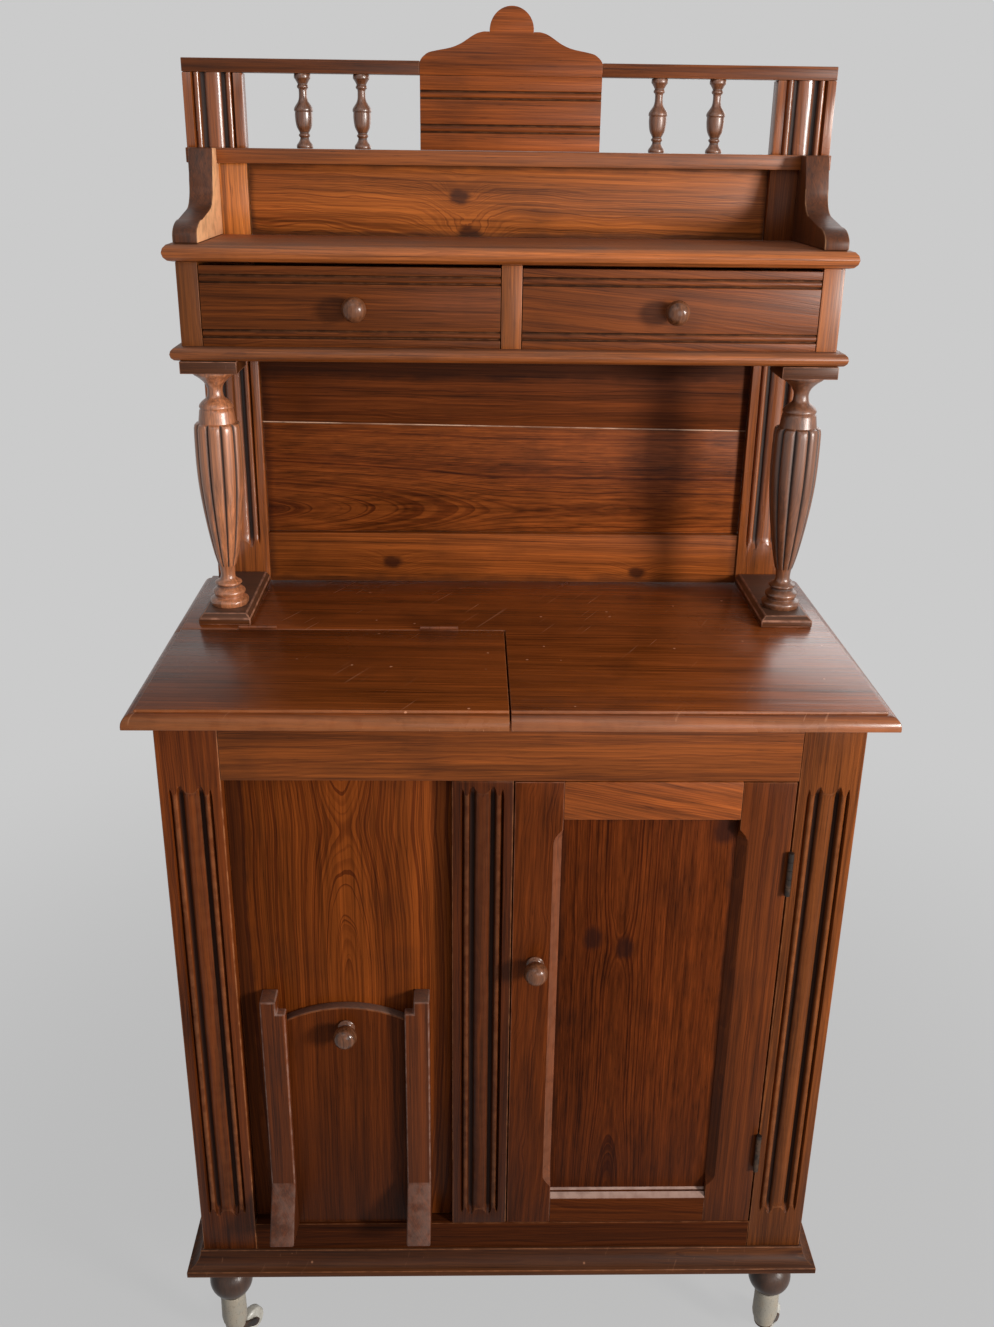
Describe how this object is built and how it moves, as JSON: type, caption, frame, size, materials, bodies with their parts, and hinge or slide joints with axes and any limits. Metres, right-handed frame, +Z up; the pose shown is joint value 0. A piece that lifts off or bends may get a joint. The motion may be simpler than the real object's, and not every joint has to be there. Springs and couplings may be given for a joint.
{
  "type": "kitchen cabinet",
  "caption": "Tall pine kitchen dresser on casters with a cupboard, a lidded bin with a sliding chute gate, and a hutch with turned columns, shallow drawers and a gallery.",
  "frame": {"origin": "on the floor, under the middle of the overall box", "axes": "+Z up, +X to the right as seen from the front, and the front faces -Y"},
  "size_m": [0.88, 0.518, 1.7798],
  "materials": {
    "pine": "varnished reddish pine",
    "dark_pine": "dark worn varnish",
    "turned_wood": "turned and varnished",
    "old_paint": "worn paint over turned wood",
    "iron": "dull old iron",
    "wheel_white": "worn white"
  },
  "bodies": {
    "cabinet": {"left_pilaster": "pine", "middle_pilaster": "pine", "right_pilaster": "pine", "base_top_rail": "pine", "base_bottom_rail": "pine", "left_side": "pine", "right_side": "pine", "base_back": "pine", "base_floor": "pine", "bin_partition": "pine", "bin_front_panel": "pine", "left_back_stile": "pine", "right_back_stile": "pine", "hutch_back": "pine", "case_bottom_board": "pine", "case_top_board": "pine", "case_left_end": "pine", "case_right_end": "pine", "case_divider": "pine", "gallery_cresting": "pine", "plinth_moulding": "dark_pine", "worktop": "dark_pine", "chute_left_cheek": "dark_pine", "chute_right_cheek": "dark_pine", "left_pad": "dark_pine", "right_pad": "dark_pine", "left_bracket": "dark_pine", "right_bracket": "dark_pine", "left_column": "turned_wood", "right_column": "turned_wood", "baluster_1": "turned_wood", "baluster_2": "turned_wood", "baluster_3": "turned_wood", "baluster_4": "turned_wood", "foot_front_left": "old_paint", "foot_front_right": "old_paint", "foot_rear_left": "old_paint", "foot_rear_right": "old_paint", "upper_door_hinge": "iron", "lower_door_hinge": "iron", "lid_hinge_left": "iron", "lid_hinge_right": "iron"},
    "left_drawer": {"left_drawer": "pine", "left_drawer_knob": "turned_wood"},
    "right_drawer": {"right_drawer": "pine", "right_drawer_knob": "turned_wood"},
    "door": {"door_frame": "pine", "door_panel": "pine", "door_knob": "turned_wood"},
    "bin_lid": {"bin_lid": "dark_pine"},
    "chute_gate": {"chute_gate": "pine", "chute_gate_knob": "turned_wood"},
    "caster_front_left": {"caster_fork_front_left": "iron"},
    "wheel_front_left": {"caster_wheel_front_left": "wheel_white"},
    "caster_front_right": {"caster_fork_front_right": "iron"},
    "wheel_front_right": {"caster_wheel_front_right": "wheel_white"},
    "caster_rear_left": {"caster_fork_rear_left": "iron"},
    "wheel_rear_left": {"caster_wheel_rear_left": "wheel_white"},
    "caster_rear_right": {"caster_fork_rear_right": "iron"},
    "wheel_rear_right": {"caster_wheel_rear_right": "wheel_white"}
  },
  "joints": [
    {"name": "left_drawer_slide", "type": "slide", "parent": "cabinet", "child": "left_drawer", "axis": [0, -1, 0], "range_m": [0, 0.11]},
    {"name": "right_drawer_slide", "type": "slide", "parent": "cabinet", "child": "right_drawer", "axis": [0, -1, 0], "range_m": [0, 0.11]},
    {"name": "door_hinge", "type": "hinge", "parent": "cabinet", "child": "door", "pos_m": [0.3376, -0.2077, 0.593], "axis": [0, 0, 1], "range_deg": [0, 170]},
    {"name": "bin_lid_hinge", "type": "hinge", "parent": "cabinet", "child": "bin_lid", "pos_m": [-0.222, 0.0374, 1.0329], "axis": [-1, 0, 0], "range_deg": [0, 94]},
    {"name": "chute_gate_slide", "type": "slide", "parent": "cabinet", "child": "chute_gate", "axis": [0, 0, 1], "range_m": [0, 0.085]},
    {"name": "caster_front_left_swivel", "type": "hinge", "parent": "cabinet", "child": "caster_front_left", "pos_m": [-0.384, -0.176, 0.03], "axis": [0, 0, 1], "continuous": true},
    {"name": "wheel_front_left_spin", "type": "hinge", "parent": "caster_front_left", "child": "wheel_front_left", "pos_m": [-0.36574, -0.1522, 0.019], "axis": [-0.7934, 0.6088, 0], "continuous": true},
    {"name": "caster_front_right_swivel", "type": "hinge", "parent": "cabinet", "child": "caster_front_right", "pos_m": [0.384, -0.176, 0.03], "axis": [0, 0, 1], "continuous": true},
    {"name": "wheel_front_right_spin", "type": "hinge", "parent": "caster_front_right", "child": "wheel_front_right", "pos_m": [0.40226, -0.1522, 0.019], "axis": [-0.7934, 0.6088, 0], "continuous": true},
    {"name": "caster_rear_left_swivel", "type": "hinge", "parent": "cabinet", "child": "caster_rear_left", "pos_m": [-0.384, 0.229, 0.03], "axis": [0, 0, 1], "continuous": true},
    {"name": "wheel_rear_left_spin", "type": "hinge", "parent": "caster_rear_left", "child": "wheel_rear_left", "pos_m": [-0.36574, 0.2052, 0.019], "axis": [0.7934, 0.6088, 0], "continuous": true},
    {"name": "caster_rear_right_swivel", "type": "hinge", "parent": "cabinet", "child": "caster_rear_right", "pos_m": [0.384, 0.229, 0.03], "axis": [0, 0, 1], "continuous": true},
    {"name": "wheel_rear_right_spin", "type": "hinge", "parent": "caster_rear_right", "child": "wheel_rear_right", "pos_m": [0.40226, 0.2052, 0.019], "axis": [0.7934, 0.6088, 0], "continuous": true}
  ]
}
